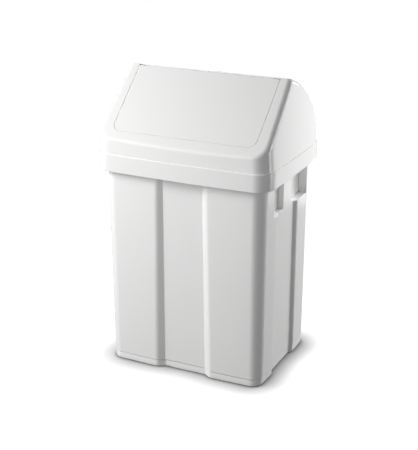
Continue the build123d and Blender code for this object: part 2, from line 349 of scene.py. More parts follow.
def sharesLike(quarter):
    # Where the body's columns stand along each side, so that plain rings get the same columns
    first = len(bodySpec["frontColumns"]) + 1 + bodySpec["panelSteps"] + 1 + len(bodySpec["wallShares"])
    last = first + shellSpec["cornerSteps"]
    fronts = [x / quarter[first][0] for x, y in quarter[:first]]
    flanks = [y / quarter[last][1] for x, y in quarter[last + 1:]]
    return fronts, flanks


def footRings(fronts, flanks):
    # Recessed base, standing ring, rounded edge, and the step round the foot
    spec = bodySpec
    hollow = {
        "x": spec["width"] / 2 - spec["sideTaper"] - spec["sidePanel"]["sink"] - spec["footRing"],
        "y": spec["depth"] / 2 - spec["frontTaper"] - spec["frontPanel"]["sink"] - spec["footRing"],
        "r": spec["footCorner"], "bowX": spec["sideBow"], "bowY": spec["frontBow"],
    }
    hollowPlaces = placesOf(plainQuarter(hollow, fronts, flanks))
    rings = []
    for share in spec["baseShares"]:
        places = [(x * share, y * share) for x, y in hollowPlaces]
        rings.append(ringAt(places, spec["baseRecess"]))
    rings.append(ringAt(hollowPlaces, 0))
    for angle in quarterTurn(shellSpec["edgeSteps"]):
        inset = spec["footFlare"] + spec["footRound"] * (1 - sin(angle))
        z = spec["footRound"] * (1 - cos(angle))
        rings.append(ringAt(bodyQuarter(z, inset), z))
    foot = spec["footHeight"]
    for z, inset in (
        (foot / 2, spec["footFlare"]), (foot - spec["creaseHigh"], spec["footCrease"]), (foot, 0),
    ):
        rings.append(ringAt(bodyQuarter(z, inset), z))
    return rings


def rimRings(fronts, flanks, under):
    # Under the rim: out to the lip, round its inner corner and down
    spec = bodySpec
    shrink, r, middle = spec["rimShrink"], spec["rimRound"], spec["rimMiddle"]
    return [bandRing(inset, under - drop, fronts, flanks) for inset, drop in (
        (shrink + r, 0), (shrink + r * middle, r * middle), (shrink, r),
        (shrink, spec["rimLip"] - shellSpec["wall"]),
    )]


def onPocketRim(edge):
    # Edges where a pocket leaves the wall, and those round its back
    spec = bodySpec
    slack = shellSpec["slack"] * mm
    rimX = (spec["width"] / 2 - spec["sidePanel"]["sink"] - spec["panelMargin"]) * mm
    backX = (spec["width"] / 2 - spec["pocketDepth"]) * mm
    middle = (edge.verts[0].co + edge.verts[1].co) / 2
    inRows = spec["pocketFloor"] * mm - slack < middle.z < spec["pocketTop"] * mm + slack
    atRim = abs(middle.x) > rimX and min(abs(v.co.x) for v in edge.verts) > rimX
    atBack = max(abs(v.co.x) for v in edge.verts) < backX + slack
    return inRows and (atRim or atBack)


def makeBody(material):
    spec = bodySpec
    fronts, flanks = sharesLike(bodyQuarter(spec["footHeight"], 0))
    rings = footRings(fronts, flanks)
    pocketSteps = spec["pocketSteps"]
    pocketHigh = spec["pocketTop"] - spec["pocketFloor"]
    floorRow = len(rings) + len(spec["wallRows"])
    topRow = floorRow + pocketSteps
    under = bodyTop.z - shellSpec["wall"]
    heights = list(spec["wallRows"])
    heights += [spec["pocketFloor"] + pocketHigh * k / pocketSteps for k in range(pocketSteps + 1)]
    for z in heights + [under]:
        rings.append(ringAt(bodyQuarter(z, 0), z))
    rings += rimRings(fronts, flanks, under)
    bm = bmesh.new()
    grid = [addRing(bm, ring) for ring in rings]
    bm.faces.new(list(reversed(grid[0])))
    pockets = pocketColumns(rings[floorRow])
    for row in range(len(grid) - 1):
        skip = set()
        if floorRow <= row < topRow:
            for columns in pockets:
                skip.update(columns[:-1])
        joinRings(bm, grid[row], grid[row + 1], skip=skip)
    for columns in pockets:
        sinkPocket(bm, grid, columns, range(floorRow, topRow + 1))
    tidyMesh(bm)
    roundEdges(bm, spec["pocketRound"], onPocketRim)
    bm = thicken(bm, "bodyWall")
    tidyMesh(bm, shellSpec["fineWeld"])
    finishPiece(bm, "bin_body_shell", "bin", material, ["bin_body"])


def pocketColumns(ring):
    # Columns of each grip pocket, in the order in which they run round the body
    found = []
    slack = shellSpec["slack"]
    for side in (1, -1):
        for start, end in bodySpec["pocketSpans"]:
            found.append([
                i for i, place in enumerate(ring)
                if place.x * side > bodySpec["flankFrom"] and start - slack < place.y < end + slack
            ])
    return found


def sinkPocket(bm, grid, columns, rows):
    back = {}
    depthX = bodySpec["width"] / 2 - bodySpec["pocketDepth"]
    for row in rows:
        for column in columns:
            place = grid[row][column].co
            side = 1 if place.x > 0 else -1
            back[row, column] = bm.verts.new((side * depthX * mm, place.y, place.z))
    floorRow, topRow = rows[0], rows[-1]
    for a, b in zip(columns, columns[1:]):
        addFace(bm, (grid[floorRow][a], grid[floorRow][b], back[floorRow, b], back[floorRow, a]))
        addFace(bm, (back[topRow, a], back[topRow, b], grid[topRow][b], grid[topRow][a]))
        for row in rows[:-1]:
            addFace(bm, (back[row, a], back[row, b], back[row + 1, b], back[row + 1, a]))
    first, last = columns[0], columns[-1]
    for row in rows[:-1]:
        addFace(bm, (grid[row][first], back[row, first], back[row + 1, first], grid[row + 1][first]))
        addFace(bm, (back[row, last], grid[row][last], grid[row + 1][last], back[row + 1, last]))


# Hood
hoodSpec = {
    "lean": 4.4,  # degrees that the flanks lean inwards
    "ridgeY": -5.0,
    "slope": 41.4,
    "domeTilt": 13.0,
    "domeFootInset": 0.6,
    "round": 12.0,
    "roundSteps": 7,
    "climbSteps": 3,  # rows up the wall below the edge round
    "openingHalf": 165.9,
    "openingEnd": 177.8,  # down the slope from the ridge
    "openingCorner": 20.8,
    "openingRound": 0.3,
    "openingLip": 8.5,
    "frontShares": (0, 0.14, 0.28, 0.42, 0.56, 0.7, 0.84, 0.93),
    "flankShares": (0.91, 0.82, 0.73, 0.64, 0.55, 0.46, 0.37, 0.28, 0.19, 0.1),
    "stopHalf": 150.0,
    "stopSpan": (-1.5, 12.0),
    "stopSunk": (2.8, 5.3),  # from the slope's face to the lip's upper and lower side
    "stopChamfer": 0.6,
    "earX": 168.0,
    "earThick": 3.0,
    "earRadius": 10.0,
    "gussetSteps": 5,
    "gussetDepth": 16.0,
}
slopeRun = Vector((0, -cos(radians(hoodSpec["slope"])), -sin(radians(hoodSpec["slope"]))))
slopeUp = Vector((0, -sin(radians(hoodSpec["slope"])), cos(radians(hoodSpec["slope"]))))
ridge = Vector((0, hoodSpec["ridgeY"], hoodHigh.z))
bandTop = hoodLow.z + bandSpec["height"]


def onSlope(x, down, sunk=0.0):
    return Vector((x, 0, 0)) + ridge + slopeRun * down - slopeUp * sunk


def domeCircle():
    # The dome's arc leaves the ridge at its tilt and lands just inside the back of the band
    tilt = radians(hoodSpec["domeTilt"])
    inward = Vector((0, -sin(tilt), -cos(tilt)))
    landing = Vector((0, hoodHigh.y - bandSpec["step"] - hoodSpec["domeFootInset"], bandTop))
    chord = landing - ridge
    radius = chord.length_squared / (2 * chord.dot(inward))
    return ridge + inward * radius, radius


domeCentre, domeRadius = domeCircle()


def domeHeight(y):
    return domeCentre.z + sqrt(domeRadius**2 - (y - domeCentre.y) ** 2)


def mitreCentre():
    # Centre line of the edge round where the slope's edge meets the dome's
    r = hoodSpec["round"]
    start = ridge - slopeUp * r - domeCentre
    half = start.dot(slopeRun)
    far = domeRadius - r
    along = -half - sqrt(half**2 - start.length_squared + far**2)
    return domeCentre + start + slopeRun * along


def upperPlan(z):
    lean = (z - bandTop) * tan(radians(hoodSpec["lean"]))
    plan = bandPlan(bandSpec["step"])
    plan["x"] -= lean
    return plan


def hoodColumns():
    # Each column climbs the wall, rolls over the edge round and stops on the slope or the dome
    spec = hoodSpec
    r = spec["round"]
    mitre = mitreCentre()
    endY = cornerPlaces(upperPlan(bandTop), 1)[-1][0].y
    flankShares = list(spec["flankShares"]) + [abs(mitre.y) / endY, 0]
    lower = plainQuarter(upperPlan(bandTop), spec["frontShares"], flankShares)
    upper = plainQuarter(upperPlan(ridge.z), spec["frontShares"], flankShares)
    loops = [wholeLoop(placesOf(q)) for q in (lower, upper)]
    outs = wholeLoop([tuple(out) for place, out in lower])
    columns = []
    for low, high, out in zip(*loops, outs):
        base = Vector((low[0], low[1], bandTop))
        climb = Vector((high[0] - low[0], high[1] - low[1], ridge.z - bandTop)) / (ridge.z - bandTop)
        outward = Vector((-out[1], out[0], 0)).cross(climb).normalized()
        start = base - outward * r
        if abs(base.y - mitre.y) < shellSpec["slack"]:
            rise = mitre.z - start.z
            centre = start + climb * rise
            inward = (ridge - mitre) / r
        elif base.y < mitre.y:
            rise = -((start - ridge).dot(slopeUp) + r) / climb.dot(slopeUp)
            centre = start + climb * rise
            inward = slopeUp
        else:
            centre = start + climb * domeRise(start, climb, r)
            inward = Vector((0, centre.y - domeCentre.y, centre.z - domeCentre.z)).normalized()
        columns.append(columnPlaces(base, centre, outward, inward, r))
    return columns, len(lower)


def domeRise(start, climb, r):
    a = climb.y**2 + climb.z**2
    y, z = start.y - domeCentre.y, start.z - domeCentre.z
    b = y * climb.y + z * climb.z
    c = y**2 + z**2 - (domeRadius - r) ** 2
    return (-b + sqrt(b**2 - a * c)) / a


def columnPlaces(base, centre, outward, inward, r):
    contact = centre + outward * r
    rows = hoodSpec["climbSteps"]
    places = [base.lerp(contact, row / rows) for row in range(rows)]
    span = outward.angle(inward)
    for step in range(hoodSpec["roundSteps"] + 1):
        t = step / hoodSpec["roundSteps"]
        mixed = outward * (sin((1 - t) * span) / sin(span)) + inward * (sin(t * span) / sin(span))
        places.append(centre + mixed * r)
    if places[rows].z > bandTop:
        return places
    # At the back the dome lands below the top of the band, so the column starts where it crosses that
    top = places[-1]
    crossing = Vector((top.x, domeCentre.y + sqrt(domeRadius**2 - (bandTop - domeCentre.z) ** 2), bandTop))
    for before, after in zip(places[rows:], places[rows + 1:]):
        if before.z <= bandTop < after.z:
            crossing = before.lerp(after, (bandTop - before.z) / (after.z - before.z))
    return [crossing if place.z <= bandTop or i < rows else place for i, place in enumerate(places)]


def openingPlace(index, cornerFirst, cornerLast, downShare, grow, sunk):
    # Place on the opening's outline that belongs to one column of the front half
    spec = hoodSpec
    flat = spec["openingHalf"] - spec["openingCorner"]
    straight = spec["openingEnd"] - spec["openingCorner"]
    r = spec["openingCorner"] + grow
    if index < cornerFirst:
        return onSlope(flat * spec["frontShares"][index], straight + r, sunk)
    if index <= cornerLast:
        angle = radians(90) * (index - cornerFirst) / (cornerLast - cornerFirst)
        return onSlope(flat + r * sin(angle), straight + r * cos(angle), sunk)
    return onSlope(flat + r, straight * downShare, sunk)


def makeHood(material):
    spec = hoodSpec
    columns, quarterCount = hoodColumns()
    frontShares = spec["frontShares"]
    flankShares = list(spec["flankShares"]) + [bandSpec["middleShare"], 0]
    # Band: up its face, round its top edge and in to the ledge
    rings = []
    for share in bandSpec["rows"]:
        rings.append(bandRing(0, hoodLow.z + bandSpec["height"] * share, frontShares, flankShares))
    for angle in quarterTurn(shellSpec["edgeSteps"]):
        inset = bandSpec["topRound"] * (1 - cos(angle))
        z = bandTop - bandSpec["topRound"] * (1 - sin(angle))
        rings.append(bandRing(inset, z, frontShares, flankShares))
    for row in range(len(columns[0])):
        rings.append([column[row] for column in columns])
    bm = bmesh.new()
    grid = [addRing(bm, ring) for ring in rings]
    for lower, upper in zip(grid, grid[1:]):
        joinRings(bm, lower, upper)
    top = grid[-1]
    cornerFirst = len(frontShares)
    cornerLast = cornerFirst + shellSpec["cornerSteps"]
    mitre = quarterCount - 2  # the column where the slope meets the dome
    frameSlope(bm, top, columns, cornerFirst, cornerLast, mitre)
    spanDome(bm, top, columns, quarterCount, cornerFirst, mitre)
    tidyMesh(bm)
    turnOutward(bm)
    bm = thicken(bm, "hoodWall")
    tidyMesh(bm, shellSpec["fineWeld"])
    foot = (hoodLow.z + shellSpec["slack"]) * mm
    roundEdges(bm, bandSpec["footRound"], lambda edge: max(v.co.z for v in edge.verts) < foot)
    addStopLip(bm)
    for side in (1, -1):
        addEar(bm, side)
    bmesh.ops.recalc_face_normals(bm, faces=bm.faces)
    finishPiece(bm, "hood_shell", "hood", material, ["hood"])


def frameSlope(bm, top, columns, cornerFirst, cornerLast, mitre):
    # The frame round the flap: flat strip, rounded edge of the opening, and its lip
    spec = hoodSpec
    total = len(columns)
    order = list(range(total - mitre, total)) + list(range(mitre + 1))
    downEnd = (columns[cornerLast][-1] - ridge).dot(slopeRun)
    edgeR = spec["openingRound"]
    stages = [(edgeR * (1 - sin(a)), edgeR * (1 - cos(a))) for a in quarterTurn(shellSpec["edgeSteps"])]
    stages.append((0, spec["openingLip"]))
    previous = [top[i] for i in order]
    for grow, sunk in stages:
        places = []
        for i in order:
            side = 1 if i <= mitre else -1
            index = i if i <= mitre else total - i
            downShare = (columns[i][-1] - ridge).dot(slopeRun) / downEnd
            place = openingPlace(index, cornerFirst, cornerLast, downShare, grow, sunk)
            places.append(Vector((place.x * side, place.y, place.z)))
        ring = addRing(bm, places)
        joinRings(bm, previous, ring, closed=False)
        previous = ring


def spanDome(bm, top, columns, quarterCount, cornerFirst, mitre):
    # Rows across the dome from the ridge to where the back corners begin, then the back edge
    spec = hoodSpec
    total = len(columns)
    backMid = 2 * quarterCount - 2
    lastRow = backMid - cornerFirst
    shares = list(reversed(spec["frontShares"]))
    previous = None
    for right in range(mitre, lastRow + 1):
        end = columns[right][-1]
        xs = [share * end.x for share in shares]
        if right == mitre:
            xs[0] = spec["openingHalf"] + spec["openingRound"]
        z = ridge.z if right == mitre else domeHeight(end.y)
        y = ridge.y if right == mitre else end.y
        inner = [Vector((x, y, z)) for x in xs + [-x for x in reversed(xs[:-1])]]
        row = [top[right]] + addRing(bm, inner) + [top[total - right]]
        if previous:
            joinRings(bm, previous, row, closed=False)
        previous = row
    back = [top[i] for i in range(lastRow + 1, total - lastRow)]
    joinRings(bm, previous[1:-1], back, closed=False)
    addFace(bm, (previous[0], previous[1], back[0]))
    addFace(bm, (previous[-2], previous[-1], back[-1]))


def addPrism(bm, outline, startX, endX):
    # Closed solid from an outline in the YZ plane
    near = addRing(bm, [Vector((startX, y, z)) for y, z in outline])
    far = addRing(bm, [Vector((endX, y, z)) for y, z in outline])
    joinRings(bm, near, far)
    bm.faces.new(near)
    bm.faces.new(list(reversed(far)))


def addStopLip(bm):
    # Lip under the ridge that the flap's top edge closes against
    spec = hoodSpec
    start, end = spec["stopSpan"]
    upper, lower = spec["stopSunk"]
    chamfer = spec["stopChamfer"]
    corners = [onSlope(0, down, sunk) for down, sunk in (
        (start, upper), (end - chamfer, upper), (end, upper + chamfer), (end, lower), (start, lower),
    )]
    addPrism(bm, [(c.y, c.z) for c in corners], -spec["stopHalf"], spec["stopHalf"])


def hullOutline(circles, steps=28):
    # Convex outline round circles given as (y, z, radius)
    dots = []
    for y, z, radius in circles:
        for step in range(steps):
            angle = 2 * pi * step / steps
            dots.append((y + radius * cos(angle), z + radius * sin(angle)))
    dots.sort()

    def chain(ordered):
        kept = []
        for dot in ordered:
            while len(kept) > 1 and (
                (kept[-1][0] - kept[-2][0]) * (dot[1] - kept[-2][1])
                - (kept[-1][1] - kept[-2][1]) * (dot[0] - kept[-2][0])
            ) <= 1e-9:
                kept.pop()
            kept.append(dot)
        return kept[:-1]

    return chain(dots) + chain(list(reversed(dots)))


def addEar(bm, side):
    # Ear that carries the pivot pin, and the gusset that ties it to the flank
    spec = hoodSpec
    wall = shellSpec["wall"]
    down = (pivot - ridge).dot(slopeRun)
    head = onSlope(0, down, spec["earRadius"])
    outline = hullOutline([(pivot.y, pivot.z, spec["earRadius"]), (head.y, head.z, spec["earRadius"])])
    capped = []
    for y, z in outline:
        sunk = -(Vector((0, y, z)) - ridge).dot(slopeUp)
        lift = max(0, wall / 2 - sunk)
        capped.append((y - slopeUp.y * lift, z - slopeUp.z * lift))
    addPrism(bm, capped, side * spec["earX"], side * (spec["earX"] + spec["earThick"]))
    gussetDown = down + spec["earRadius"] - wall / 2
    flankX = flankAt(upperPlan(onSlope(0, gussetDown).z), 0) - wall / 2
    r = spec["round"] - wall / 2
    earMiddle = spec["earX"] + spec["earThick"] / 2
    profile = [(earMiddle, wall / 2), (flankX - r, wall / 2)]
    for angle in quarterTurn(spec["gussetSteps"])[1:]:
        profile.append((flankX - r + r * sin(angle), spec["round"] - r * cos(angle)))
    profile += [(flankX, spec["gussetDepth"]), (earMiddle, spec["gussetDepth"])]
    rings = []
    for offset in (-wall / 2, wall / 2):
        places = [onSlope(side * x, gussetDown + offset, sunk) for x, sunk in profile]
        rings.append(addRing(bm, places))
    joinRings(bm, rings[0], rings[1])
    bm.faces.new(rings[0])
    bm.faces.new(list(reversed(rings[1])))


# Flap
flapSpec = {
    "half": 165.3,
    "start": 4.0,  # down the slope from the ridge
    "end": 177.4,
    "corner": 20.3,
    "round": 0.3,
    "backRound": 0.3,
    "cornerSteps": 12,
    "ribInset": 4.5,  # the turned edge stands this far inside the outline
    "ribStart": 16.0,
    "ribDepth": 7.0,
    "cheekX": 160.5,
    "cheekTop": 30.0,
    "cheekBottom": 100.0,
    "bossRadius": 7.5,
    "bossBore": 4.05,
    "bossLength": 6.0,
    "bossProud": 1.5,
    "socketRadius": 8.1,
    "socketBore": 5.1,
    "socketSlot": 8.4,
    "socketLength": 12.0,
    "nest": 0.05,  # joined forms sink into each other by this, so that no two faces fall together
    "cheekInset": 0.03,  # the cheek is this much thinner on each face than its arm
}


def flapOutline(grow, start):
    # Outline on the slope as (x, down), from the top right corner round the bottom
    spec = flapSpec
    half, end, r = spec["half"] + grow, spec["end"] + grow, spec["corner"] + grow
    straight = end - r - start
    outline = [(half, start), (half, start + straight / 3), (half, start + straight * 2 / 3)]
    for angle in quarterTurn(spec["cornerSteps"]):
        outline.append((half - r + r * cos(angle), end - r + r * sin(angle)))
    outline += [(half / 3, end)]
    return outline + [(-x, down) for x, down in reversed(outline)]


def addSlopeForm(bm, stages, closeStart, closeEnd):
    # Rings on the slope from (outline, sunk) stages, capped where asked
    rings = [addRing(bm, [onSlope(x, down, sunk) for x, down in outline]) for outline, sunk in stages]
    for lower, upper in zip(rings, rings[1:]):
        joinRings(bm, lower, upper)
    if closeStart:
        bm.faces.new(rings[0])
    if closeEnd:
        bm.faces.new(list(reversed(rings[-1])))
    if not closeStart and not closeEnd:
        joinRings(bm, rings[-1], rings[0])


def addTube(bm, y, z, startX, endX, outer, inner, slot=0.0, slotAngle=0.0, steps=32):
    # Ring section along X; with a slot it is a C that opens towards slotAngle
    opening = 2 * atan(slot / 2 / inner) if slot else 0
    span = 2 * pi - opening
    count = steps + 1 if slot else steps
    angles = [slotAngle + opening / 2 + span * k / steps for k in range(count)]
    rings = []
    for x, radius in ((startX, outer), (endX, outer), (endX, inner), (startX, inner)):
        places = [Vector((x, y + radius * cos(a), z + radius * sin(a))) for a in angles]
        rings.append(addRing(bm, places))
    for lower, upper in zip(rings, rings[1:] + rings[:1]):
        joinRings(bm, lower, upper, closed=not slot)
    if slot:
        bm.faces.new([ring[0] for ring in rings])
        bm.faces.new([ring[-1] for ring in reversed(rings)])


def addPanel(bm):
    spec = flapSpec
    wall, back = shellSpec["wall"], spec["backRound"]
    stages = []
    for angle in quarterTurn(shellSpec["edgeSteps"]):
        inset = spec["round"] * (1 - sin(angle))
        stages.append((flapOutline(-inset, spec["start"] + inset), spec["round"] * (1 - cos(angle))))
    stages.append((flapOutline(0, spec["start"]), wall - back))
    stages.append((flapOutline(-back, spec["start"] + back), wall))
    addSlopeForm(bm, stages, True, True)


def addRib(bm):
    # Turned edge behind the panel
    spec = flapSpec
    wall = shellSpec["wall"]
    outer = flapOutline(-spec["ribInset"], spec["ribStart"])
    inner = flapOutline(-spec["ribInset"] - wall, spec["ribStart"] + wall)
    foot = wall + spec["ribDepth"]
    addSlopeForm(bm, [(outer, wall / 2), (outer, foot), (inner, foot), (inner, wall / 2)], False, False)


def addCheek(bm, side):
    # Cheek with the pin's boss, and the arm that carries the rod's socket
    spec = flapSpec
    wall, nest = shellSpec["wall"], spec["nest"]
    rodLow, rodHigh = [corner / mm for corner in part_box("weight_rod")]
    rod = (rodLow + rodHigh) / 2
    top = onSlope(0, spec["cheekTop"], wall / 2)
    bottom = onSlope(0, spec["cheekBottom"], wall / 2)
    cheek = hullOutline([
        (top.y, top.z, wall / 2), (bottom.y, bottom.z, wall / 2),
        (pivot.y, pivot.z, spec["bossRadius"] - nest),
    ])
    arm = hullOutline([
        (pivot.y, pivot.z, spec["bossRadius"] - 2 * nest), (rod.y, rod.z, spec["socketRadius"] - nest),
    ])
    face, inner = spec["cheekX"], spec["cheekX"] - wall
    proud = face + spec["bossProud"]
    addPrism(bm, cheek, side * (inner + spec["cheekInset"]), side * (face - spec["cheekInset"]))
    addPrism(bm, arm, side * inner, side * face)
    addTube(bm, pivot.y, pivot.z, side * (proud - spec["bossLength"]), side * proud,
            spec["bossRadius"], spec["bossBore"])
    away = atan2(rod.z - pivot.z, rod.y - pivot.y)
    addTube(bm, rod.y, rod.z, side * (inner - spec["socketLength"]), side * (inner + 2 * nest),
            spec["socketRadius"], spec["socketBore"], spec["socketSlot"], away)


def makeFlap(material):
    bm = bmesh.new()
    addPanel(bm)
    addRib(bm)
    for side in (1, -1):
        addCheek(bm, side)
    bmesh.ops.recalc_face_normals(bm, faces=bm.faces)
    finishPiece(bm, "swing_flap_shell", "flap", material, ["swing_flap"])


# Finishes
finishSpec = {
    "white": (0.80, 0.80, 0.795),
    "shadeDrift": 0.99,  # its darkest patches
    "shadeScale": 7.0,
    "roughness": 0.17,
    "glossDrift": 0.02,  # how far the roughness wanders either way
    "glossScale": 38.0,
    "grain": 0.00035,  # metres between the grains of the mould's texture
    "grainDepth": 0.000008,
    "grainStrength": 0.2,
    "wave": 0.09,  # metres between the soft sink waves of a large moulding
    "bodyWave": 0.00012,  # how deep they are on the body
    "lidWave": 0.00008,  # and on the hood and the flap
}
pinSpec = {
    "color": (0.76, 0.76, 0.75),
    "roughness": 0.4,
    "wave": 0.00002,
}
rodSpec = {
    "dull": (0.50, 0.51, 0.52, 1),
    "bright": (0.66, 0.66, 0.65, 1),
    "cloudScale": 120.0,
    "roughness": (0.24, 0.42),
    "lineScale": (12, 900, 900),  # slow along the rod, fine across it
    "lineDepth": 0.00004,
    "lineStrength": 0.3,
}


def addNode(tree, kind, **values):
    node = tree.nodes.new(kind)
    for name, value in values.items():
        if name in node.inputs:
            node.inputs[name].default_value = value
        else:
            setattr(node, name, value)
    return node


def addRange(tree, low, high, **values):
    node = addNode(tree, "ShaderNodeMapRange", **values)
    node.inputs["To Min"].default_value = low
    node.inputs["To Max"].default_value = high
    return node


def newMaterial(name):
    material = bpy.data.materials.new(name)
    material.use_nodes = True
    tree = material.node_tree
    tree.nodes.clear()
    return material, tree, tree.nodes.new("ShaderNodeOutputMaterial")


def mouldedPlastic(name, color, roughness, waveDepth):
    # Moulded plastic: faint shade drift, uneven gloss, fine mould grain and slow sink waves
    spec = finishSpec
    material, tree, out = newMaterial(name)
    surface = addNode(tree, "ShaderNodeBsdfPrincipled", IOR=1.5)
    place = tree.nodes.new("ShaderNodeTexCoord")
    drift = addNode(tree, "ShaderNodeTexNoise", Scale=spec["shadeScale"], Detail=2.0)
    gloss = addNode(tree, "ShaderNodeTexNoise", Scale=spec["glossScale"], Detail=3.0)
    grain = addNode(tree, "ShaderNodeTexNoise", Scale=1 / spec["grain"], Detail=2.0)
    wave = addNode(tree, "ShaderNodeTexNoise", Scale=1 / spec["wave"], Detail=1.0)
    for noise in (drift, gloss, grain, wave):
        tree.links.new(place.outputs["Object"], noise.inputs["Vector"])
    shade = tree.nodes.new("ShaderNodeValToRGB")
    shade.color_ramp.elements[0].position = 0.3
    shade.color_ramp.elements[0].color = (*[c * spec["shadeDrift"] for c in color], 1)
    shade.color_ramp.elements[1].position = 0.7
    shade.color_ramp.elements[1].color = (*color, 1)
    tree.links.new(drift.outputs["Fac"], shade.inputs["Fac"])
    tree.links.new(shade.outputs["Color"], surface.inputs["Base Color"])
    matt = addRange(tree, roughness - spec["glossDrift"], roughness + spec["glossDrift"])
    tree.links.new(gloss.outputs["Fac"], matt.inputs["Value"])
    tree.links.new(matt.outputs["Result"], surface.inputs["Roughness"])
    slow = addNode(tree, "ShaderNodeBump", Strength=1.0, Distance=waveDepth)
    fine = addNode(tree, "ShaderNodeBump", Strength=spec["grainStrength"], Distance=spec["grainDepth"])
    tree.links.new(wave.outputs["Fac"], slow.inputs["Height"])
    tree.links.new(grain.outputs["Fac"], fine.inputs["Height"])
    tree.links.new(slow.outputs["Normal"], fine.inputs["Normal"])
    tree.links.new(fine.outputs["Normal"], surface.inputs["Normal"])
    tree.links.new(surface.outputs["BSDF"], out.inputs["Surface"])
    return material


def zincSteel(name):
    # Drawn steel rod with a zinc coat: fine lengthwise drawing lines and cloudy gloss
    spec = rodSpec
    material, tree, out = newMaterial(name)
    surface = addNode(tree, "ShaderNodeBsdfPrincipled", Metallic=1.0)
    place = tree.nodes.new("ShaderNodeTexCoord")
    stretch = addNode(tree, "ShaderNodeMapping", Scale=spec["lineScale"])
    lines = addNode(tree, "ShaderNodeTexNoise", Scale=1.0, Detail=3.0)
    clouds = addNode(tree, "ShaderNodeTexNoise", Scale=spec["cloudScale"], Detail=4.0)
    tree.links.new(place.outputs["Object"], stretch.inputs["Vector"])
    tree.links.new(stretch.outputs["Vector"], lines.inputs["Vector"])
    tree.links.new(place.outputs["Object"], clouds.inputs["Vector"])
    tint = tree.nodes.new("ShaderNodeValToRGB")
    tint.color_ramp.elements[0].color = spec["dull"]
    tint.color_ramp.elements[1].color = spec["bright"]
    tree.links.new(clouds.outputs["Fac"], tint.inputs["Fac"])
    tree.links.new(tint.outputs["Color"], surface.inputs["Base Color"])
    matt = addRange(tree, *spec["roughness"])
    tree.links.new(clouds.outputs["Fac"], matt.inputs["Value"])
    tree.links.new(matt.outputs["Result"], surface.inputs["Roughness"])
    bump = addNode(tree, "ShaderNodeBump", Strength=spec["lineStrength"], Distance=spec["lineDepth"])
    tree.links.new(lines.outputs["Fac"], bump.inputs["Height"])
    tree.links.new(bump.outputs["Normal"], surface.inputs["Normal"])
    tree.links.new(surface.outputs["BSDF"], out.inputs["Surface"])
    return material


white, satin = finishSpec["white"], finishSpec["roughness"]
bodyPlastic = mouldedPlastic("bodyPlastic", white, satin, finishSpec["bodyWave"])
hoodPlastic = mouldedPlastic("hoodPlastic", white, satin, finishSpec["lidWave"])
flapPlastic = mouldedPlastic("flapPlastic", white, satin, finishSpec["lidWave"])
pinPlastic = mouldedPlastic("pinPlastic", pinSpec["color"], pinSpec["roughness"], pinSpec["wave"])
rodSteel = zincSteel("rodSteel")
print("finishes made")

makeBody(bodyPlastic)
print("body made")
makeHood(hoodPlastic)
print("hood made")
makeFlap(flapPlastic)
print("flap made")
for node, material, slot in (
    ("pivot_pin_left", pinPlastic, "pin_plastic"),
    ("pivot_pin_right", pinPlastic, "pin_plastic"),
    ("weight_rod", rodSteel, "rod_steel"),
):
    for place in frame["nodes"][node].material_slots:
        place.material = material
print("pins and rod finished")

# Camera, fitted to the photograph
camSpec = {
    "position": (1.0075, -2.1186, 1.1731),
    "target": (-0.00165, 0.0, 0.3046),
    "focalPx": 1114.43,
    "imageHigh": 450,
    "sensor": 36.0,
    "clipEnd": 50.0,
}


def makeCamera():
    data = bpy.data.cameras.new("photoCamera")
    data.sensor_width = camSpec["sensor"]
    data.lens = camSpec["focalPx"] * camSpec["sensor"] / camSpec["imageHigh"]
    data.clip_end = camSpec["clipEnd"]
    cam = bpy.data.objects.new("photoCamera", data)
    bpy.context.scene.collection.objects.link(cam)
    cam.location = camSpec["position"]
    look = Vector(camSpec["target"]) - cam.location
    cam.rotation_mode = "QUATERNION"
    cam.rotation_quaternion = look.to_track_quat("-Z", "Y")
    bpy.context.scene.camera = cam


# Studio: softboxes given by azimuth, elevation and distance from the bin.
# A lamp whose gloss is False lights the bin but isn't mirrored in it.
lampSpec = {
    "leftBox": {"azimuth": -58, "elevation": 29, "distance": 2.4, "size": (1.0, 1.0), "watts": 29.5,
                "gloss": False},
    "nearLeftBox": {"azimuth": -46, "elevation": 31, "distance": 1.7, "size": (0.7, 0.7), "watts": 12.5,
                    "gloss": False},
    "frontBox": {"azimuth": -15, "elevation": 12, "distance": 2.3, "size": (1.2, 1.0), "watts": 23.5,
                 "gloss": False},
    "rearBox": {"azimuth": 152, "elevation": 20, "distance": 2.4, "size": (1.0, 1.0), "watts": 35.0,
                "gloss": False},
    "lowRearBox": {"azimuth": 156, "elevation": 17, "distance": 2.3, "size": (1.2, 1.0), "watts": 8.0},
    "rightBox": {"azimuth": 125, "elevation": 12, "distance": 2.3, "size": (1.2, 1.0), "watts": 7.5},
    "sideStrip": {"azimuth": 105, "elevation": 8, "distance": 1.2, "size": (0.3, 0.8), "watts": 3.4},
    "sideCard": {"azimuth": 160, "elevation": 0, "distance": 0.8, "size": (0.36, 0.6), "watts": 0.85,
                 "aim": (0.188, 0, 0.4)},
    # Tiny cards inside the two grip pockets that face the camera
    "nearPocketCard": {"azimuth": 0, "elevation": 0, "distance": 0.055, "size": (0.005, 0.07),
                       "watts": 0.008, "aim": (0.1715, -0.015, 0.42), "gloss": False},
    "farPocketCard": {"azimuth": 0, "elevation": 0, "distance": 0.065, "size": (0.005, 0.07),
                      "watts": 0.013, "aim": (0.1715, 0.108, 0.42), "gloss": False},
}
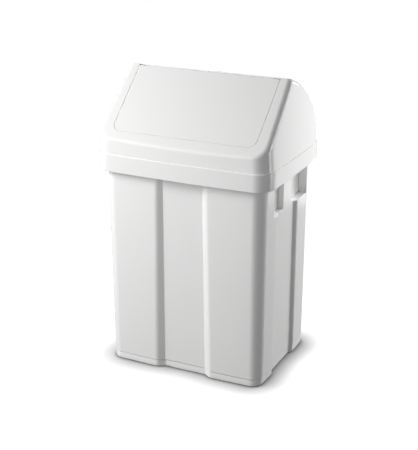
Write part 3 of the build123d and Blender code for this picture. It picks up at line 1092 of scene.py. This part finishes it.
studioSpec = {
    "floorBounce": 0.03,  # how much of the lamps' light the floor sends back to the bin
    "floorMirror": 0.6,  # how bright the floor looks in gloss
    "backMirror": 0.3,  # and the backdrop
    "floorShade": 0.12,  # how much of the long cast shadow shows on the paper
    "floorGlow": 1.0,  # the paper's own brightness
    "contactReach": 0.053,  # metres that the soft contact shadow runs out
    "contactPower": (1.35, 2.2),  # its depth before the bin and on its shaded side
    "contactSide": (0.11, 0.19),  # metres right of the bin's middle between which it deepens
    "contactSamples": 16,
    "footShadowReach": 0.010,  # metres of the painted dark shadow line right under the foot
    "floorHalf": 4.0,
    "floorCells": 8,
    "floorDrop": 0.0002,  # metres between the paper and the bin's foot
    "lampAim": (0, 0, 0.33),
}


def makeLamp(name, spec):
    data = bpy.data.lights.new(name, "AREA")
    data.shape = "RECTANGLE"
    data.size, data.size_y = spec["size"]
    data.energy = spec["watts"]
    lamp = bpy.data.objects.new(name, data)
    lamp.visible_camera = False
    lamp.visible_glossy = spec.get("gloss", True)
    bpy.context.scene.collection.objects.link(lamp)
    azimuth, elevation = radians(spec["azimuth"]), radians(spec["elevation"])
    back = Vector((sin(azimuth) * cos(elevation), -cos(azimuth) * cos(elevation), sin(elevation)))
    lamp.location = Vector(spec.get("aim", studioSpec["lampAim"])) + back * spec["distance"]
    lamp.rotation_mode = "QUATERNION"
    lamp.rotation_quaternion = (-back).to_track_quat("-Z", "Y")


def makeWorld():
    # White backdrop for the camera and for shiny or clear surfaces; it lights nothing
    world = bpy.data.worlds.new("studio")
    bpy.context.scene.world = world
    world.use_nodes = True
    tree = world.node_tree
    tree.nodes.clear()
    out = tree.nodes.new("ShaderNodeOutputWorld")
    path = tree.nodes.new("ShaderNodeLightPath")
    previous = addNode(tree, "ShaderNodeBackground", Color=(0, 0, 0, 1), Strength=0.0).outputs[0]
    for kind, strength in (
        ("Is Glossy Ray", studioSpec["backMirror"]), ("Is Transmission Ray", 1.0), ("Is Camera Ray", 1.0),
    ):
        white = addNode(tree, "ShaderNodeBackground", Color=(1, 1, 1, 1), Strength=strength)
        pick = tree.nodes.new("ShaderNodeMixShader")
        tree.links.new(path.outputs[kind], pick.inputs[0])
        tree.links.new(previous, pick.inputs[1])
        tree.links.new(white.outputs[0], pick.inputs[2])
        previous = pick.outputs[0]
    tree.links.new(previous, out.inputs[0])


def contactLevel(tree):
    # Painted contact shadow: the paper's glow fades where the bin stands close above it
    spec = studioSpec
    samples = spec["contactSamples"]
    place = tree.nodes.new("ShaderNodeTexCoord")
    axes = tree.nodes.new("ShaderNodeSeparateXYZ")
    power = addRange(tree, *spec["contactPower"], interpolation_type="SMOOTHSTEP")
    power.inputs["From Min"].default_value, power.inputs["From Max"].default_value = spec["contactSide"]
    wide = addNode(tree, "ShaderNodeAmbientOcclusion", samples=samples, Distance=spec["contactReach"])
    close = addNode(tree, "ShaderNodeAmbientOcclusion", samples=samples, Distance=spec["footShadowReach"])
    soft = addNode(tree, "ShaderNodeMath", operation="POWER")
    dark = addNode(tree, "ShaderNodeMath", operation="MULTIPLY")
    level = addNode(tree, "ShaderNodeMath", operation="MULTIPLY")
    level.inputs[1].default_value = spec["floorGlow"]
    tree.links.new(place.outputs["Object"], axes.inputs[0])
    tree.links.new(axes.outputs["X"], power.inputs["Value"])
    tree.links.new(wide.outputs["AO"], soft.inputs[0])
    tree.links.new(power.outputs["Result"], soft.inputs[1])
    tree.links.new(soft.outputs[0], dark.inputs[0])
    tree.links.new(close.outputs["AO"], dark.inputs[1])
    tree.links.new(dark.outputs[0], level.inputs[0])
    return level.outputs[0]


def floorPaper(name):
    # White paper; the camera, the gloss and the bounced light each see it in their own way
    spec = studioSpec
    material, tree, out = newMaterial(name)
    shade, bounce = spec["floorShade"], spec["floorBounce"]
    seen = addNode(tree, "ShaderNodeBsdfDiffuse", Color=(shade, shade, shade, 1))
    unseen = addNode(tree, "ShaderNodeBsdfDiffuse", Color=(bounce, bounce, bounce, 1))
    mirrored = addNode(tree, "ShaderNodeEmission", Color=(1, 1, 1, 1), Strength=spec["floorMirror"])
    glow = addNode(tree, "ShaderNodeEmission", Color=(1, 1, 1, 1))
    # The glow is dimmed near the bin by the painted contact shadow
    tree.links.new(contactLevel(tree), glow.inputs["Strength"])
    both = tree.nodes.new("ShaderNodeAddShader")
    hidden = tree.nodes.new("ShaderNodeMixShader")
    pick = tree.nodes.new("ShaderNodeMixShader")
    path = tree.nodes.new("ShaderNodeLightPath")
    tree.links.new(seen.outputs[0], both.inputs[0])
    tree.links.new(glow.outputs[0], both.inputs[1])
    tree.links.new(path.outputs["Is Glossy Ray"], hidden.inputs[0])
    tree.links.new(unseen.outputs[0], hidden.inputs[1])
    tree.links.new(mirrored.outputs[0], hidden.inputs[2])
    tree.links.new(path.outputs["Is Camera Ray"], pick.inputs[0])
    tree.links.new(hidden.outputs[0], pick.inputs[1])
    tree.links.new(both.outputs[0], pick.inputs[2])
    tree.links.new(pick.outputs[0], out.inputs[0])
    return material


def makeFloor():
    spec = studioSpec
    bm = bmesh.new()
    cells = spec["floorCells"]
    bmesh.ops.create_grid(bm, x_segments=cells, y_segments=cells, size=spec["floorHalf"])
    mesh = bpy.data.meshes.new("floor")
    bm.to_mesh(mesh)
    bm.free()
    mesh.materials.append(floorPaper("floorPaper"))
    floor = bpy.data.objects.new("floor", mesh)
    bpy.context.scene.collection.objects.link(floor)
    floor.location.z = -spec["floorDrop"]


makeCamera()
makeWorld()
makeFloor()
for lampName, lampValues in lampSpec.items():
    makeLamp(lampName, lampValues)
bpy.context.scene.view_settings.view_transform = "Standard"
print("studio made")
